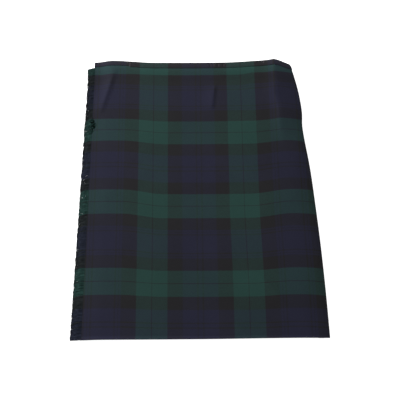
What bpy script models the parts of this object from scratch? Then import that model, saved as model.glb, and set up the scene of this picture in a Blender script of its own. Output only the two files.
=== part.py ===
"""A kilt in a dark green, navy and black tartan, laid flat with its aprons up.

One long cloth goes round in a spiral. Its fringed edge lies on top at -X. From there the front
apron crosses to +X, rolls over the hip to the floor, runs back to -X as knife pleats, and turns
up again into the under apron, whose free edge ends inside the +X roll. A narrow band binds the
waist at +Y and the hem is the selvedge at -Y. Metres, +Z up, resting on Z = 0.
"""

import math
from collections import namedtuple

import bmesh
import bpy
from mathutils import Vector

for leftover in list(bpy.data.objects):
    bpy.data.objects.remove(leftover, do_unlink=True)

MM = 0.001

# Cloth
CLOTH = 1.2 * MM  # thickness of the wall
SEAM = 0.3 * MM  # clear space where two pieces meet
LAYER_GAP = 0.4 * MM  # air between two layers that lie on each other
LAYER = CLOTH + LAYER_GAP  # from one layer's middle to the next one's

# Outline, as laid out
LENGTH = 0.6000  # hem to waist along the middle
HEM_Y = -0.3036
HEM_SLANT = 0.0036  # how much further the hem reaches at the fringe than at the hip
HEM_PIVOT = 0.4  # the share of the width where it is at HEM_Y
WAIST_MIDDLE_X = -0.020
FRINGED_RISE = 4.0 * MM  # how far the waist line rises from its middle to each side
FRINGED_RISE_SPAN = (0.066, 0.142)  # and between which distances from the middle
HIP_RISE = 6.0 * MM
HIP_RISE_SPAN = (0.060, 0.170)
FRINGED_CORNER_FALL = 1.8 * MM  # how far it falls again at its two ends
FRINGED_CORNER_SPAN = (0.172, 0.200)
HIP_CORNER_FALL = 6.4 * MM
HIP_CORNER_SPAN = (0.136, 0.168)
FRINGE_EDGE_HEM_X = -0.1980  # the cloth's own edge, inside the fringe
FRINGE_EDGE_WAIST_X = -0.1972

# "up" is the share of the length above the hem. The hip fold's place, the looseness at both
# sides and the width of the roll over the hip follow these stations.
Station = namedtuple("Station", "up hip_fold loose_left loose_hip roll_width")
STATIONS = (
    Station(0.000, 0.2122, 0.3 * MM, 1.9 * MM, 44 * MM),
    Station(0.150, 0.2094, 0.4 * MM, 1.9 * MM, 44 * MM),
    Station(0.300, 0.2054, 0.5 * MM, 1.9 * MM, 44 * MM),
    Station(0.440, 0.2003, 0.6 * MM, 2.0 * MM, 44 * MM),
    Station(0.595, 0.1935, 0.7 * MM, 2.1 * MM, 44 * MM),
    Station(0.750, 0.1835, 0.8 * MM, 2.3 * MM, 41 * MM),
    Station(0.810, 0.1838, 0.9 * MM, 2.5 * MM, 42 * MM),
    Station(0.875, 0.1803, 1.0 * MM, 2.8 * MM, 45 * MM),
    Station(0.925, 0.1758, 1.1 * MM, 2.5 * MM, 39.5 * MM),
    Station(0.970, 0.1700, 1.2 * MM, 1.9 * MM, 34.5 * MM),
    Station(1.000, 0.1650, 1.2 * MM, 1.7 * MM, 30 * MM),
)

# Waistband
BAND = 1.0 * MM  # thickness of its cloth
BAND_HEIGHT = 11.5 * MM
BAND_UP = 1 - BAND_HEIGHT / LENGTH
BAND_RISE = BAND + SEAM  # what the band adds under or over a layer
LIP_CLEAR = 1.4 * MM  # from the back band's lip up to the under apron
RISE_STARTS_UP = 0.930
RISE_ENDS_UP = 0.968

# Pleats
PLEATS = 13
LEFT_FOLD_INSET = 2.5 * MM  # from the fringed edge to the fold under it
FIRST_PLEAT = 14.5 * MM  # from that fold to the first pleat's edge
RAMP = 9 * MM  # width over which a layer climbs over the pleat beneath it
PLEAT_CLEAR = 2 * MM
CLIMB = 24 * MM  # width over which the aprons climb onto the deep part
FALL_CLEAR = 2 * MM  # from the end of the deep part to the start of the fall
FALL = 16 * MM  # width of the fall
HIP_CLEAR = 5 * MM  # from the last pleat's inner fold to the hip fold
BACK_HEM_INSET = 7.5 * MM

# Aprons
ROLL_TURNS = (75, 58, 43, 29, 15, 0, -22, -45, -68, -90)  # degrees round the hip, to the floor
HIP_RIDGE = 3.0 * MM  # near the waist a crease lifts the cloth where the roll starts
RIDGE_REACH = 24 * MM
RIDGE_STARTS_UP = 0.66
RIDGE_FULL_UP = 0.80
RIDGE_COLUMNS = (0.5, 0.2)  # shares of its reach
CHAMFER = 0.8  # how straight the cloth falls from that crease, where it is round below
ROLL_TUCK = 6 * MM  # its turn under, at the floor
ROLL_NOSE = 0.42  # height of the fold's outermost line, as a share of the roll's
HIP_SEAM_INSET = 16 * MM
LEFT_SEAM_INSET = 4.5 * MM
UNDER_EDGE_INSET = 10 * MM
UNDER_HEM_INSET = 3 * MM
UNDER_SHARE = 0.4  # the part of the looseness that lies under the under apron
FRINGED_LOOSE_SPAN = (0.05, 0.40)  # shares of the width where the looseness fades from each side
HIP_LOOSE_SPAN = (0.45, 0.86)
SPRUNG = 0.5  # how much of the step at the fringed side the front apron's edge bridges
SPRING_BEFORE = 10 * MM
SPRING_STARTS_DOWN = 0.80  # it settles on the step towards the waist
SPRING_ENDS_UP = 0.93

FRONT_ROWS = (0, 0.1, 0.2, 0.3, 0.4, 0.5, 0.6, 0.69, 0.76, 0.82, 0.87, RISE_STARTS_UP) + (
    RISE_ENDS_UP, BAND_UP, 1
)
UNDER_ROWS = (0, 0.20, 0.40, 0.60, 0.76, 0.87, RISE_STARTS_UP, RISE_ENDS_UP, 1)
BACK_ROWS = (0, 0.25, 0.50, 0.66, 0.76, 0.87, RISE_STARTS_UP, RISE_ENDS_UP, 1)
UNDER_TURNS = (-90, -60, -30, 0, 30, 60)  # degrees round the left fold, from the floor
FRONT_COLUMNS = 20
UNDER_COLUMNS = 10
FLAT_CLEAR = 14 * MM  # from a slope to the first even column
BACK_BAND_COLUMNS = 24

# Creases of the front apron: each is a ridge from one point to another. "reach" is how far its
# side towards -X spreads, "drop" that of its other side.
CREST = 1 * MM  # how round a ridge's top is
CREASE_GROWS = (-0.15, 0.25)  # shares of its length where it comes up and dies away
CREASE_FADES = (0.70, 1.15)
Crease = namedtuple("Crease", "x0 y0 x1 y1 height reach drop")
CREASES = (
    Crease(-0.156, 0.275, -0.186, 0.160, 2.6 * MM, 24 * MM, 10 * MM),
    Crease(0.0260, 0.243, 0.0200, 0.185, 1.9 * MM, 24 * MM, 7 * MM),
    Crease(-0.120, -0.060, -0.040, -0.120, 0.7 * MM, 30 * MM, 24 * MM),
    Crease(0.095, -0.170, 0.140, -0.230, 0.8 * MM, 22 * MM, 18 * MM),
)

# Fringe
STRANDS = 160
FRINGE_LENGTH = 12.6 * MM
FRINGE_TOP_UP = BAND_UP - SEAM / LENGTH
FRINGE_STRIP = 1.6 * MM  # width of the woven strip that holds the roots
FRINGE_THICK = 1.0 * MM
STRAND_TIP_Z = 0.6 * MM


def smooth(start, end, value):
    """0 before start, 1 after end, and an S-curve between them."""
    share = min(max((value - start) / (end - start), 0), 1)
    return share * share * (3 - 2 * share)


def mix(a, b, share):
    return a + (b - a) * share


def at_station(up, column):
    """A column of the station table at any height, on a smooth curve through its rows."""
    up = min(max(up, 0), 1)
    last = len(STATIONS) - 1
    i = next(k for k in range(last) if up <= STATIONS[k + 1].up)
    row = [getattr(STATIONS[min(max(k, 0), last)], column) for k in range(i - 1, i + 3)]
    place = [STATIONS[min(max(k, 0), last)].up for k in range(i - 1, i + 3)]
    span = place[2] - place[1]
    share = (up - place[1]) / span
    start_slope = (row[2] - row[0]) / (place[2] - place[0]) * span
    end_slope = (row[3] - row[1]) / (place[3] - place[1]) * span
    cube, square = share**3, share**2
    return (
        (2 * cube - 3 * square + 1) * row[1]
        + (cube - 2 * square + share) * start_slope
        + (3 * square - 2 * cube) * row[2]
        + (cube - square) * end_slope
    )


def fringe_edge(up):
    return mix(FRINGE_EDGE_HEM_X, FRINGE_EDGE_WAIST_X, up)


def left_fold(up):
    return fringe_edge(up) + LEFT_FOLD_INSET


def hip_fold(up):
    return at_station(up, "hip_fold")


def left_seam(up):
    return left_fold(up) + LEFT_SEAM_INSET


def hip_seam(up):
    """Where the front apron meets the pleats under the hip: one straight line from hem to waist."""
    return mix(hip_fold(0), hip_fold(1), up) - HIP_SEAM_INSET


def y_at(x, up, hem_inset=0):
    """The place along the length, with the hem's slant and the waist's sag."""
    across = (x - FRINGE_EDGE_HEM_X) / (hip_fold(0) - FRINGE_EDGE_HEM_X)
    hem = HEM_Y + HEM_SLANT * (across - HEM_PIVOT) + hem_inset
    side = x - WAIST_MIDDLE_X
    waist = HEM_Y + LENGTH
    waist += FRINGED_RISE * smooth(*FRINGED_RISE_SPAN, -side)
    waist += HIP_RISE * smooth(*HIP_RISE_SPAN, side)
    waist -= FRINGED_CORNER_FALL * smooth(*FRINGED_CORNER_SPAN, -x)
    waist -= HIP_CORNER_FALL * smooth(*HIP_CORNER_SPAN, x)
    return mix(hem, waist, up)


def rise(up):
    """The room that the waistband takes under the cloth, near the waist only."""
    share = (up - RISE_STARTS_UP) / (RISE_ENDS_UP - RISE_STARTS_UP)
    return BAND_RISE * min(max(share, 0), 1)


def floor_level(up):
    return CLOTH / 2 + rise(up)


def pleat_sizes(up):
    """(edge of the first pleat, width that shows, depth hidden inside)."""
    first = left_fold(up) + FIRST_PLEAT
    shows = (hip_fold(up) - HIP_CLEAR + RAMP + PLEAT_CLEAR - first) / (PLEATS + 1)
    return first, shows, 2 * shows - RAMP - PLEAT_CLEAR


def looseness(x, up):
    """Extra air under the front apron: a little at its fringed side, more towards the hip."""
    across = (x - fringe_edge(up)) / (hip_fold(up) - fringe_edge(up))
    left = at_station(up, "loose_left") * (1 - smooth(*FRINGED_LOOSE_SPAN, across))
    return left + at_station(up, "loose_hip") * smooth(*HIP_LOOSE_SPAN, across)


def deep_stretch(up):
    """Where the pleats lie five layers deep and not three: the start and end of the climb onto
    them, and the start and end of the fall from them."""
    first, shows, depth = pleat_sizes(up)
    second, last_deep_end = first + shows, first + (PLEATS - 2) * shows + depth
    fall_start = last_deep_end + FALL_CLEAR
    return second - RAMP - CLIMB, second - RAMP, fall_start, fall_start + FALL


def under_level(x, up):
    """The under apron's middle: it lies on five layers of pleats, and on three at both sides."""
    climb_start, climb_end, fall_start, fall_end = deep_stretch(up)
    layers = 3 + 2 * smooth(climb_start, climb_end, x) - 2 * smooth(fall_start, fall_end, x)
    return floor_level(up) + layers * LAYER + UNDER_SHARE * looseness(x, up)


def crease_height(x, y):
    """The sum of the soft ridges at a point of the front apron."""
    total = 0
    for crease in CREASES:
        start = Vector((crease.x0, crease.y0))
        run = Vector((crease.x1, crease.y1)) - start
        away = Vector((x, y)) - start
        share = away.dot(run) / run.length_squared
        side = (run.x * away.y - run.y * away.x) / run.length
        side = side if run.y > 0 else -side
        spread = crease.reach if side > 0 else crease.drop
        ends = smooth(*CREASE_GROWS, share) * (1 - smooth(*CREASE_FADES, share))
        total += crease.height * ends * max(1 - math.hypot(side, CREST) / spread, 0) ** 2
    return total


def spring(x, up):
    """How far the front apron, which is stiff, stands off the step at its fringed side."""
    climb_start, climb_end = deep_stretch(up)[:2]
    stands = mix(SPRUNG, 1, smooth(fringe_edge(up) - SPRING_BEFORE, climb_end, x))
    off = max(stands - smooth(climb_start, climb_end, x), 0) * 2 * LAYER
    return off * (1 - smooth(SPRING_STARTS_DOWN, SPRING_ENDS_UP, up))


def roll_start(up):
    return hip_fold(up) - at_station(up, "roll_width")


def creased_hip(up):
    return smooth(RIDGE_STARTS_UP, RIDGE_FULL_UP, up)


def hip_ridge(x, up):
    near = max(1 - max(roll_start(up) - x, 0) / RIDGE_REACH, 0)
    return HIP_RIDGE * creased_hip(up) * near**2


def front_level(x, up):
    loose = (1 - UNDER_SHARE) * looseness(x, up) + spring(x, up) + hip_ridge(x, up)
    return under_level(x, up) + LAYER + rise(up) + loose + crease_height(x, y_at(x, up))


def columns(up, start, end, count):
    """Places across an apron from start to end: even ones, and three on each slope."""
    climb_start, climb_end, fall_start, fall_end = deep_stretch(up)
    slopes = [
        mix(low, high, share)
        for low, high in ((climb_start, climb_end), (fall_start, fall_end))
        for share in (0, 0.5, 1)
    ]
    flat_start, flat_end = climb_end + FLAT_CLEAR, min(fall_start - FLAT_CLEAR, end)
    even = [mix(flat_start, flat_end, k / count) for k in range(count)]
    return [start] + [x for x in sorted(slopes + even) if start < x < end - MM] + [end]


def front_path(up):
    """The front apron's middle line across the body, from its fringed edge to the seam below."""
    edge, roll, outermost = fringe_edge(up), roll_start(up), hip_fold(up) - CLOTH / 2
    top, floor = front_level(roll, min(up, 1)), floor_level(up)
    nose = mix(floor, top, ROLL_NOSE)
    across = columns(min(up, 1), edge, roll, FRONT_COLUMNS)
    across[-1:-1] = [roll - RIDGE_REACH * share for share in RIDGE_COLUMNS]
    points = []
    for x in across:
        points.append(Vector((x, y_at(x, up), front_level(x, min(up, 1)))))
    for degrees in ROLL_TURNS:
        turn = math.radians(degrees)
        if degrees >= 0:
            lift = mix(math.sin(turn), 1 - math.cos(turn), CHAMFER * creased_hip(up))
            reach, z = outermost - roll, mix(nose, top, lift)
        else:
            reach, z = ROLL_TUCK, mix(nose, floor, -math.sin(turn))
        x = outermost - reach * (1 - math.cos(turn))
        tucked = BACK_HEM_INSET * (degrees - ROLL_TURNS[0]) / (ROLL_TURNS[-1] - ROLL_TURNS[0])
        points.append(Vector((x, y_at(x, up, tucked), z)))
    x = hip_seam(up) + SEAM / 2
    points.append(Vector((x, y_at(x, up, BACK_HEM_INSET), floor)))
    return points


def under_path(up):
    """The under apron's middle line, from the seam under the left fold to its free edge."""
    fold, free = left_fold(up) + CLOTH / 2, hip_fold(up) - UNDER_EDGE_INSET
    low, high = floor_level(up), under_level(fold, up)
    radius = (high - low) / 2
    seam = left_seam(up) - SEAM / 2
    points = [Vector((seam, y_at(seam, up, BACK_HEM_INSET), low))]
    for degrees in UNDER_TURNS:
        turn = math.radians(degrees)
        x = fold + radius * (1 - math.cos(turn))
        inset = mix(BACK_HEM_INSET, UNDER_HEM_INSET, (degrees + 90) / 180)
        points.append(Vector((x, y_at(x, up, inset), low + radius * (1 + math.sin(turn)))))
    for x in columns(min(up, 1), fold + radius, free, UNDER_COLUMNS):
        points.append(Vector((x, y_at(x, up, UNDER_HEM_INSET), under_level(x, up))))
    return points


def back_path(up):
    """The pleats' middle line, from the left seam to the seam under the hip.

    Each pleat climbs two layers, runs inwards over its neighbour, folds, and comes back to its
    edge, so the cloth lies five layers deep.
    """
    first, shows, depth = pleat_sizes(up)
    floor, turn = floor_level(up), LAYER / 2
    points = []

    def go(x, layer):
        points.append(Vector((x, y_at(x, up, BACK_HEM_INSET), floor + layer * LAYER)))

    go(left_seam(up) + SEAM / 2, 0)
    for i in range(PLEATS):
        edge = first + i * shows
        is_last = i == PLEATS - 1
        top = 2 if is_last else 4
        go(edge - RAMP, 0)
        go(edge, 2)
        if not is_last:
            go(edge + shows - RAMP, 2)
            go(edge + shows, 4)
        go(edge + depth - turn, top)
        go(edge + depth, top - 0.5)
        go(edge + depth - turn, top - 1)
        if not is_last:
            go(edge + shows, 3)
            go(edge + shows - RAMP, 1)
        go(edge + turn, 1)
        go(edge, 0.5)
        go(edge + turn, 0)
    go(hip_seam(up) - SEAM / 2, 0)
    return points


def moved_out(points, distance):
    """A path moved sideways in X and Z by a distance, with mitred corners."""
    moved = []
    for k, point in enumerate(points):
        before = point - points[k - 1] if k > 0 else points[1] - point
        after = points[k + 1] - point if k < len(points) - 1 else before
        normals = [Vector((-step.z, 0, step.x)).normalized() for step in (before, after)]
        middle = normals[0] + normals[1]
        moved.append(point + middle * (2 * distance / middle.length_squared))
    return moved


def finish(name, mesh, color):
    """Makes a node of a closed bmesh, with its faces outwards and a plain cloth material."""
    bmesh.ops.recalc_face_normals(mesh, faces=mesh.faces)
    data = bpy.data.meshes.new(name)
    mesh.to_mesh(data)
    mesh.free()
    data.shade_smooth()
    data.set_sharp_from_angle(angle=math.radians(50))
    material = bpy.data.materials.new(name)
    material.use_nodes = True
    shader = material.node_tree.nodes["Principled BSDF"]
    shader.inputs["Base Color"].default_value = (*color, 1)
    shader.inputs["Roughness"].default_value = 0.9
    shader.inputs["Metallic"].default_value = 0
    data.materials.append(material)
    node = bpy.data.objects.new(name, data)
    bpy.context.collection.objects.link(node)
    return node


def skin(mesh, rings):
    """Quads between rings of the same number of points, each ring closed."""
    vertices = [[mesh.verts.new(point) for point in ring] for ring in rings]
    for lower, upper in zip(vertices, vertices[1:]):
        for k in range(len(lower)):
            mesh.faces.new((lower[k - 1], lower[k], upper[k], upper[k - 1]))
    return vertices


def cloth_wall(name, path, rows, color):
    """A panel of one thickness whose section at each row is a path across the body."""
    mesh = bmesh.new()
    rings = []
    for up in rows:
        middle = path(up)
        rings.append(moved_out(middle, CLOTH / 2) + moved_out(middle, -CLOTH / 2)[::-1])
    vertices = skin(mesh, rings)
    for ring in (vertices[0], vertices[-1]):
        for k in range(len(ring) // 2 - 1):
            mesh.faces.new((ring[k], ring[k + 1], ring[-k - 2], ring[-k - 1]))
    return finish(name, mesh, color)


def waistband(name, path, side, color):
    """A band on the outside of a panel, turned over its top edge. side is 1 where the panel's
    outside is the side that moved_out takes as positive, and -1 on the other."""
    inner = CLOTH / 2 + SEAM
    outer = inner + BAND
    edge_up = 1 + SEAM / LENGTH
    top_up = edge_up + BAND / LENGTH
    bevel = BAND / 2
    profile = (
        (BAND_UP, inner),
        (BAND_UP, outer),
        (top_up - bevel / LENGTH, outer),
        (top_up, outer - bevel),
        (top_up, -CLOTH / 2),
        (edge_up, -CLOTH / 2),
        (edge_up, inner),
    )
    lines = [moved_out(path(up), side * distance) for up, distance in profile]
    mesh = bmesh.new()
    vertices = skin(mesh, list(zip(*lines)))
    mesh.faces.new(vertices[0])
    mesh.faces.new(vertices[-1])
    return finish(name, mesh, color)


def back_waistband(name, color):
    """The band under the pleats: flat on the floor, and turned up over the ends of the pleats."""
    edge_up = 1 + SEAM / LENGTH
    top_up = edge_up + BAND / LENGTH
    bevel = BAND / 2
    mesh = bmesh.new()
    rings = []
    for k in range(BACK_BAND_COLUMNS + 1):
        share = k / BACK_BAND_COLUMNS
        lip = under_level(mix(left_seam(1), hip_seam(1), share), 1) - CLOTH / 2 - LIP_CLEAR
        profile = (
            (BAND_UP, 0),
            (BAND_UP, BAND),
            (edge_up, BAND),
            (edge_up, lip),
            (top_up, lip - bevel),
            (top_up, bevel),
            (top_up - bevel / LENGTH, 0),
        )
        ring = []
        for up, z in profile:
            level = min(up, 1)
            x = mix(left_seam(level) + SEAM / 2, hip_seam(level) - SEAM / 2, share)
            ring.append(Vector((x, y_at(x, up), z)))
        rings.append(ring)
    vertices = skin(mesh, rings)
    mesh.faces.new(vertices[0])
    mesh.faces.new(vertices[-1])
    return finish(name, mesh, color)


def fringe(name, color):
    """The front apron's ravelled edge: locks of yarn whose roots share one narrow woven strip."""
    mesh = bmesh.new()
    sections, roots = [], []
    for k in range(STRANDS + 1):
        up = FRINGE_TOP_UP * k / STRANDS
        edge = fringe_edge(up)
        z = front_level(edge, up)
        inside, outside = edge - SEAM, edge - SEAM - FRINGE_STRIP
        corners = (
            (inside, z - FRINGE_THICK / 2),
            (outside, z - FRINGE_THICK / 2),
            (outside, z + FRINGE_THICK / 2),
            (inside, z + FRINGE_THICK / 2),
        )
        sections.append([mesh.verts.new((x, y_at(x, up), height)) for x, height in corners])
    for lower, upper in zip(sections, sections[1:]):
        for k in (0, 2, 3):
            mesh.faces.new((lower[k], lower[k - 3], upper[k - 3], upper[k]))
        roots.append((lower[1], lower[2], upper[2], upper[1]))
    mesh.faces.new(sections[0])
    mesh.faces.new(sections[-1])
    for k, root in enumerate(roots):
        centre = sum((vertex.co for vertex in root), Vector()) / 4
        sway = 0.5 * math.sin(k * 2.4) + 0.5 * math.sin(k * 0.37 + 1)
        length = FRINGE_LENGTH * (1 + 0.10 * math.sin(k * 1.7) + 0.06 * math.sin(k * 0.23))
        below = STRAND_TIP_Z + FRINGE_THICK / 4 - centre.z
        ring = root
        for share, thin in ((0.5, 0.62), (1, 0.42)):
            middle = centre + Vector((-length * share, 0.8 * MM * sway * share, below * share**1.6))
            moved = [
                mesh.verts.new(middle + Vector((0, (v.co - centre).y, (v.co - centre).z)) * thin)
                for v in root
            ]
            for j in range(4):
                mesh.faces.new((ring[j - 1], ring[j], moved[j], moved[j - 1]))
            ring = moved
        mesh.faces.new(ring)
    return finish(name, mesh, color)


GREEN = (0.020, 0.042, 0.040)
NAVY = (0.022, 0.023, 0.042)
BLACK = (0.020, 0.021, 0.024)

pieces = [
    cloth_wall("front_apron", front_path, FRONT_ROWS, GREEN),
    cloth_wall("under_apron", under_path, UNDER_ROWS, NAVY),
    cloth_wall("pleated_back", back_path, BACK_ROWS, NAVY),
    waistband("front_waistband", front_path, 1, BLACK),
    waistband("under_waistband", under_path, 1, BLACK),
    back_waistband("back_waistband", BLACK),
    fringe("apron_fringe", GREEN),
]

# The origin is the middle of the floor under the kilt.
corners = [vertex.co for piece in pieces for vertex in piece.data.vertices]
middle_x = (min(c.x for c in corners) + max(c.x for c in corners)) / 2
middle_y = (min(c.y for c in corners) + max(c.y for c in corners)) / 2
for piece in pieces:
    for vertex in piece.data.vertices:
        vertex.co -= Vector((middle_x, middle_y, 0))
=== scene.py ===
"""A kilt in a dark green, navy and black tartan, laid flat on a pale floor with its aprons up.

The camera comes first, and floor and light last. Between them the order is the maker's: the
pleats, the under apron, the front apron over it, the three stretches of waistband, the sewing
and the fringe. The cuts of the cloth are stated after them.
"""

import functools
import math
import random

import bpy
import bmesh
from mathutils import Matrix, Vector, noise


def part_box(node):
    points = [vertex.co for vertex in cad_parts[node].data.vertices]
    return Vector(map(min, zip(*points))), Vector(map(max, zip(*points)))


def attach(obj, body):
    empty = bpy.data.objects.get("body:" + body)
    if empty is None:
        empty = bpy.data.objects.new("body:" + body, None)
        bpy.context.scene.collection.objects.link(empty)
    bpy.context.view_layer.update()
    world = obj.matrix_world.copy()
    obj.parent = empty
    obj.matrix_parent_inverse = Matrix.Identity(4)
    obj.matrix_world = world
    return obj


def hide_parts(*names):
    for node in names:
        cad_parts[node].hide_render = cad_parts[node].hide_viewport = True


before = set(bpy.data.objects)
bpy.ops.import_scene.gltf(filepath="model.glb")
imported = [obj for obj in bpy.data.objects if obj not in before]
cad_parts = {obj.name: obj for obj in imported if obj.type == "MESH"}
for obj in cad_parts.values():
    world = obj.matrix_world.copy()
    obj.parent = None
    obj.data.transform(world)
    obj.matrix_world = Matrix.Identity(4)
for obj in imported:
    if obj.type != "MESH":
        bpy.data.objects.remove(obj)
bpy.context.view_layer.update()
bpy.ops.object.select_all(action="DESELECT")

# ---------------------------------------------------------------------------------------------
# The view. A long lens on a stand at the hem's end, high enough to see the whole front apron.
# ---------------------------------------------------------------------------------------------
VIEW_ELEVATION = math.radians(53.2)
VIEW_DISTANCE = 2.82
VIEW_LENS = 145.8  # on a 36 mm wide sensor
VIEW_TARGET = Vector((-0.0006, -0.0196, 0.0125))

lens = bpy.data.cameras.new("view")
lens.lens = VIEW_LENS
lens.sensor_width = 36
view = bpy.data.objects.new("view", lens)
back_off = Vector((0, -math.cos(VIEW_ELEVATION), math.sin(VIEW_ELEVATION)))
view.location = VIEW_TARGET + back_off * VIEW_DISTANCE
view.rotation_euler = (math.pi / 2 - VIEW_ELEVATION, 0, 0)
bpy.context.collection.objects.link(view)
bpy.context.scene.camera = view

# ---------------------------------------------------------------------------------------------
# The pleated back. Twill wool about 1.2 mm thick, folded into thirteen knife pleats and pressed.
# It is the middle of one long cloth, which goes on at both sides as the two aprons, so the
# tartan runs on from piece to piece. It lies on the floor with the outer side down.
# ---------------------------------------------------------------------------------------------
MM = 0.001
CLOTH = 1.2 * MM
SEAM = 0.3 * MM  # clear space where two pieces meet
LAYER = CLOTH + 0.4 * MM  # from one layer's middle to the next one's
ROUNDING = (0, 0.12 * MM, 0.35 * MM, CLOTH / 2)  # places of the rows that round an edge off
LEAST_EDGE = 0.25  # the share of the thickness that the rounded edge keeps at its rim
SHARPEST = math.radians(50)  # a fold that is sharper than this isn't shaded smooth

LENGTH = 0.6000  # from hem to waist
HEM_Y = -0.3036
HEM_SLANT = 0.0036  # how much further up the hem is at the hip than at the fringe
HEM_LEVEL = 0.4  # how far across, as a share, the hem is at HEM_Y
# The waist edge sags in the middle: how far it rises from there to both sides, and between
# which distances from its middle. At the corners it falls again, between two distances from
# X = 0.
WAIST_MIDDLE_X = -0.020
FRINGED_RISE = 4.0 * MM
FRINGED_RISE_SPAN = (0.066, 0.142)
HIP_RISE = 6.0 * MM
HIP_RISE_SPAN = (0.060, 0.170)
FRINGED_CORNER_FALL = 1.8 * MM
FRINGED_CORNER_SPAN = (0.172, 0.200)
HIP_CORNER_FALL = 6.4 * MM
HIP_CORNER_SPAN = (0.136, 0.168)
FRINGE_EDGE_HEM_X = -0.1980
FRINGE_EDGE_WAIST_X = -0.1972

# Up the body from the hem: where, the hip fold's place, the air at the fringe and at the hip,
# and the width of the roll over the hip.
STATIONS = (
    (0.000, 0.2122, 0.3 * MM, 1.9 * MM, 44 * MM),
    (0.150, 0.2094, 0.4 * MM, 1.9 * MM, 44 * MM),
    (0.300, 0.2054, 0.5 * MM, 1.9 * MM, 44 * MM),
    (0.440, 0.2003, 0.6 * MM, 2.0 * MM, 44 * MM),
    (0.595, 0.1935, 0.7 * MM, 2.1 * MM, 44 * MM),
    (0.750, 0.1835, 0.8 * MM, 2.3 * MM, 41 * MM),
    (0.810, 0.1838, 0.9 * MM, 2.5 * MM, 42 * MM),
    (0.875, 0.1803, 1.0 * MM, 2.8 * MM, 45 * MM),
    (0.925, 0.1758, 1.1 * MM, 2.5 * MM, 39.5 * MM),
    (0.970, 0.1700, 1.2 * MM, 1.9 * MM, 34.5 * MM),
    (1.000, 0.1650, 1.2 * MM, 1.7 * MM, 30 * MM),
)
HIP_FOLD, LOOSE_LEFT, LOOSE_HIP, ROLL_WIDTH = 1, 2, 3, 4  # columns of the stations

BAND = 1.0 * MM  # the waistband's thickness
BAND_HEIGHT = 12.5 * MM
BAND_UP = 1 - BAND_HEIGHT / LENGTH
BAND_RISE = BAND + SEAM  # how far the pleats rise over its stretch beneath them
RISE_STARTS_UP = 0.930
RISE_ENDS_UP = 0.968

PLEATS = 13
LEFT_FOLD_INSET = 2.5 * MM  # the left fold lies inside the fringed edge
FIRST_PLEAT = 14.5 * MM  # from the left fold
RAMP = 9 * MM  # where a layer climbs on to the next pleat
PLEAT_CLEAR = 2 * MM
HIP_CLEAR = 5 * MM
HIP_SEAM_INSET = 16 * MM
LEFT_SEAM_INSET = 4.5 * MM
BACK_HEM_INSET = 7.5 * MM  # how far the back's hem is up inside the aprons'
BACK_ROWS = 40


def smooth(start, end, value):
    """0 before start, 1 after end, and an S-curve between them."""
    share = min(max((value - start) / (end - start), 0), 1)
    return share * share * (3 - 2 * share)


def mix(a, b, share):
    return a + (b - a) * share


@functools.cache
def at_station(up, column):
    """A column of the station table at any height, on a smooth curve through its rows."""
    up = min(max(up, 0), 1)
    last = len(STATIONS) - 1
    i = next(k for k in range(last) if up <= STATIONS[k + 1][0])
    near = [STATIONS[min(max(k, 0), last)] for k in range(i - 1, i + 3)]
    place, row = [station[0] for station in near], [station[column] for station in near]
    span = place[2] - place[1]
    share = (up - place[1]) / span
    start_slope = (row[2] - row[0]) / (place[2] - place[0]) * span
    end_slope = (row[3] - row[1]) / (place[3] - place[1]) * span
    cube, square = share**3, share**2
    return (
        (2 * cube - 3 * square + 1) * row[1]
        + (cube - 2 * square + share) * start_slope
        + (3 * square - 2 * cube) * row[2]
        + (cube - square) * end_slope
    )


def fringe_edge(up):
    return mix(FRINGE_EDGE_HEM_X, FRINGE_EDGE_WAIST_X, up)


def left_fold(up):
    return fringe_edge(up) + LEFT_FOLD_INSET


def hip_fold(up):
    return at_station(up, HIP_FOLD)


def left_seam(up):
    return left_fold(up) + LEFT_SEAM_INSET


def hip_seam(up):
    return mix(hip_fold(0), hip_fold(1), up) - HIP_SEAM_INSET


def y_at(x, up, hem_inset=0):
    """The place along the length, with the hem's slant and the waist's sag."""
    across = (x - FRINGE_EDGE_HEM_X) / (hip_fold(0) - FRINGE_EDGE_HEM_X)
    hem = HEM_Y + HEM_SLANT * (across - HEM_LEVEL) + hem_inset
    side = x - WAIST_MIDDLE_X
    waist = HEM_Y + LENGTH
    waist += FRINGED_RISE * smooth(*FRINGED_RISE_SPAN, -side)
    waist += HIP_RISE * smooth(*HIP_RISE_SPAN, side)
    waist -= FRINGED_CORNER_FALL * smooth(*FRINGED_CORNER_SPAN, -x)
    waist -= HIP_CORNER_FALL * smooth(*HIP_CORNER_SPAN, x)
    return mix(hem, waist, up)


# The frame's origin is the middle of the kilt's box. These are the same lines' places before
# that, so what is made from them moves by this much.
apron_low, apron_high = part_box("front_apron")
TO_FRAME = Vector((apron_high[0] - hip_fold(0), apron_low[1] - y_at(FRINGE_EDGE_HEM_X, 0), 0))


def floor_level(up):
    """The middle of the lowest layer, which rises over the band near the waist."""
    share = (up - RISE_STARTS_UP) / (RISE_ENDS_UP - RISE_STARTS_UP)
    return CLOTH / 2 + BAND_RISE * min(max(share, 0), 1)


@functools.cache
def pleat_sizes(up):
    """(edge of the first pleat, width that shows, depth hidden inside)."""
    first = left_fold(up) + FIRST_PLEAT
    shows = (hip_fold(up) - HIP_CLEAR + RAMP + PLEAT_CLEAR - first) / (PLEATS + 1)
    return first, shows, 2 * shows - RAMP - PLEAT_CLEAR


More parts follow.
